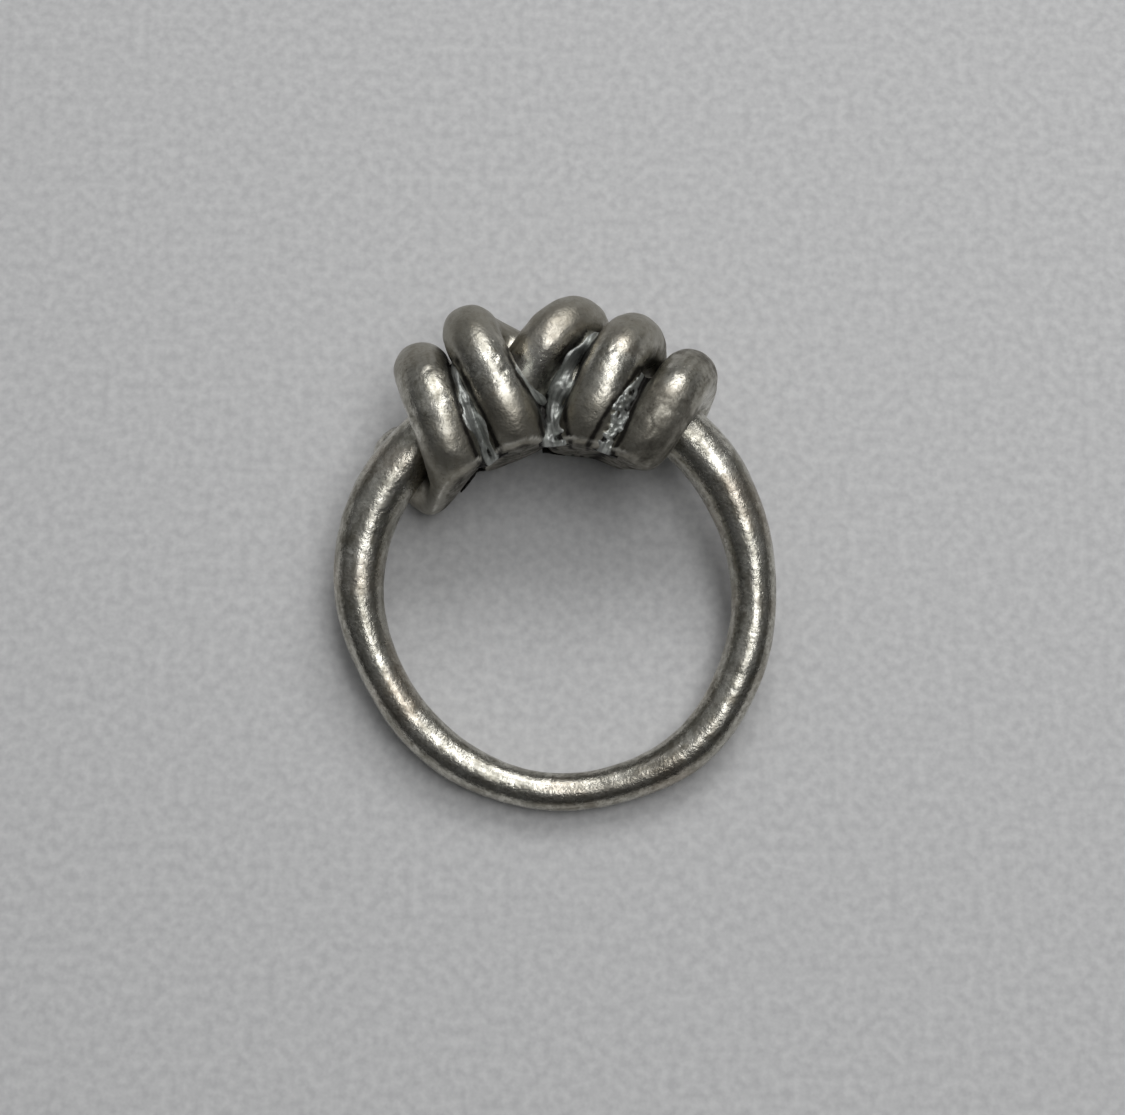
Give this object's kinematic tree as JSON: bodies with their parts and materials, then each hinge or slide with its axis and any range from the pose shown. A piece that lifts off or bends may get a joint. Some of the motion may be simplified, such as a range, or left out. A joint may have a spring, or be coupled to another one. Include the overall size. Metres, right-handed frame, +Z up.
{
  "type": "knotted finger ring",
  "caption": "Finger ring of round wire: a tapered shank whose ends cross in a coiled knot, soldered into one rigid piece.",
  "frame": {"origin": "bottom centre of the box round the ring as it lies on its side", "axes": "+Z up, +Y from the back of the shank towards the knot, +X to the right as seen from above with the knot away from the viewer"},
  "size_m": [0.022, 0.0252, 0.0096],
  "materials": {
    "wire": "aged silver, worn to a soft gloss",
    "solder": "oxidised, rough"
  },
  "bodies": {
    "root": {"shank": "wire", "front_crossing": "wire", "right_turn": "wire", "right_end_turn": "wire", "rear_crossing": "wire", "left_turn": "wire", "left_end_turn": "wire", "front_left_solder": "solder", "front_fork_solder": "solder", "front_right_solder": "solder", "rear_left_solder": "solder", "rear_fork_solder": "solder", "rear_right_solder": "solder"}
  },
  "joints": []
}
